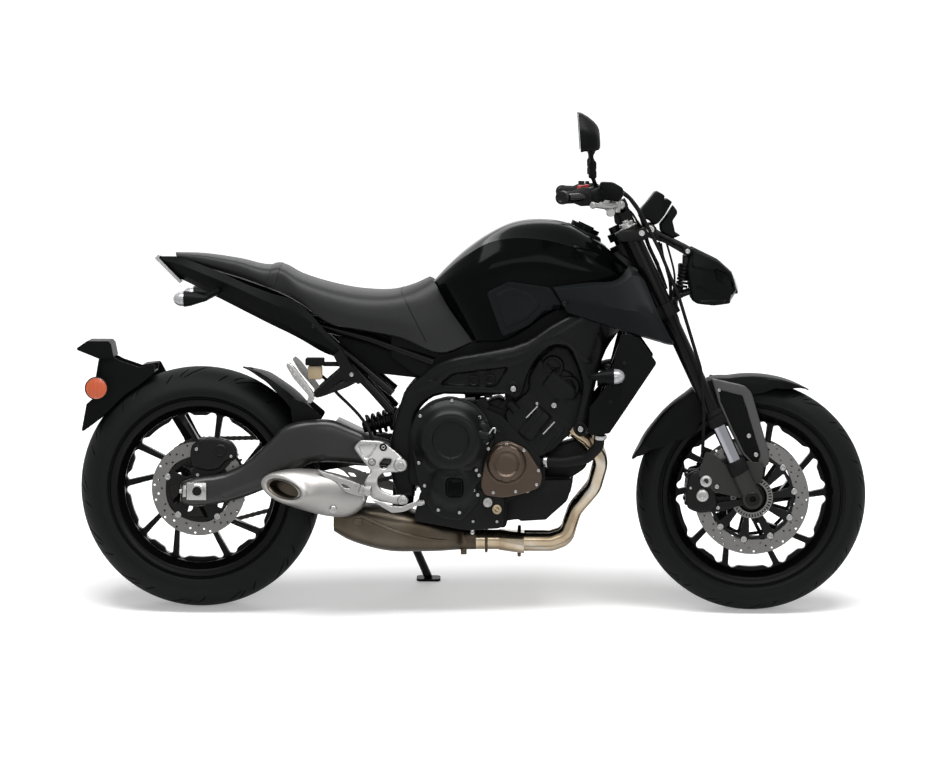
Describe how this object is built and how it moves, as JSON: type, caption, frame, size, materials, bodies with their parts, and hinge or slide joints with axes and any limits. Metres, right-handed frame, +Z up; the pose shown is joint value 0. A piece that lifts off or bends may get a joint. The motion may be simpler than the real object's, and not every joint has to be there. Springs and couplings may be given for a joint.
{
  "type": "standard motorcycle",
  "caption": "Naked road motorcycle with a cast twin-spar frame, under-slung exhaust, cast wheels, turning steering and a side stand it leans on.",
  "frame": {"origin": "on the ground, under the middle of the whole machine's box", "axes": "+X towards the front wheel, +Y to the rider's left, +Z up; the machine leans 9.5 degrees towards +Y, onto its side stand"},
  "size_m": [2.0602, 0.8748, 1.348],
  "materials": {
    "frame_black": "satin black paint on cast aluminium",
    "steel_black": "black paint on steel",
    "engine_black": "matt black engine paint",
    "bronze_cover": "dark bronze metallic paint",
    "moulding_black": "matt black moulding",
    "radiator_core": "black finned core",
    "hose_rubber": "matt rubber",
    "header_steel": "heat-tinted stainless steel",
    "silencer_satin": "satin",
    "tank_gloss": "gloss black lacquer",
    "panel_matt": "matt charcoal",
    "seat_vinyl": "matt vinyl",
    "lamp_lens": "clear lens over a reflector",
    "silver_cast": "satin machined",
    "chain_steel": "oiled steel",
    "caliper_grey": "dark anodised",
    "fluid_amber": "translucent",
    "fork_chrome": "hard chrome",
    "rim_black": "satin black paint",
    "tyre_rubber": "tread and matt side wall",
    "disc_steel": "ground ring"
  },
  "bodies": {
    "chassis": {"main_frame": "frame_black", "subframe": "steel_black", "crankcase": "engine_black", "cylinder_head": "engine_black", "engine_covers": "engine_black", "timing_cover": "bronze_cover", "oil_cooler": "moulding_black", "radiator": "radiator_core", "radiator_shrouds": "moulding_black", "coolant_hoses": "hose_rubber", "exhaust_headers": "header_steel", "exhaust_chamber": "header_steel", "silencer": "silencer_satin", "fuel_tank": "tank_gloss", "knee_panels": "panel_matt", "side_scoops": "panel_matt", "seat": "seat_vinyl", "tail_cowl": "moulding_black", "tail_lamp": "lamp_lens", "indicators": "lamp_lens", "footrest_brackets": "silver_cast", "footpegs": "silver_cast", "foot_levers": "silver_cast", "swingarm": "frame_black", "drive_chain": "chain_steel", "rear_hugger": "moulding_black", "plate_holder": "moulding_black", "rear_shock": "steel_black", "rear_caliper": "caliper_grey", "brake_reservoir": "fluid_amber", "airbox": "moulding_black", "battery_box": "moulding_black", "throttle_bodies": "engine_black"},
    "steering": {"fork_yokes": "frame_black", "fork_tubes": "engine_black", "fork_stanchions": "fork_chrome", "fork_feet": "frame_black", "handlebar": "steel_black", "grips": "hose_rubber", "switchgear": "moulding_black", "control_levers": "silver_cast", "mirrors": "panel_matt", "headlamp": "panel_matt", "instrument": "moulding_black", "front_mudguard": "panel_matt", "front_calipers": "caliper_grey", "brake_hoses": "hose_rubber"},
    "front_wheel": {"front_rim": "rim_black", "front_tyre": "tyre_rubber", "front_discs": "disc_steel"},
    "rear_wheel": {"rear_rim": "rim_black", "rear_tyre": "tyre_rubber", "rear_disc": "disc_steel", "rear_sprocket": "chain_steel"},
    "side_stand": {"side_stand": "steel_black"},
    "fuel_cap": {"fuel_cap": "tank_gloss"}
  },
  "joints": [
    {"name": "steering_turn", "type": "hinge", "parent": "chassis", "child": "steering", "pos_m": [0.42293, -0.04726, 0.86892], "axis": [-0.4223, 0.1496, 0.894], "range_deg": [-30, 30]},
    {"name": "front_wheel_spin", "type": "hinge", "parent": "steering", "child": "front_wheel", "pos_m": [0.7301, -0.14299, 0.29677], "axis": [-0.0001, 0.9863, -0.165], "continuous": true},
    {"name": "rear_wheel_spin", "type": "hinge", "parent": "chassis", "child": "rear_wheel", "pos_m": [-0.70989, -0.14051, 0.31203], "axis": [-0.0001, 0.9863, -0.165], "continuous": true},
    {"name": "side_stand_fold", "type": "hinge", "parent": "chassis", "child": "side_stand", "pos_m": [-0.18993, -0.04375, 0.21151], "axis": [0.0001, 0.9426, 0.3338], "range_deg": [0, 96]},
    {"name": "fuel_cap_hinge", "type": "hinge", "parent": "chassis", "child": "fuel_cap", "pos_m": [0.32687, -0.03146, 0.96338], "axis": [-0.0001, 0.9863, -0.165], "range_deg": [0, 80]}
  ]
}
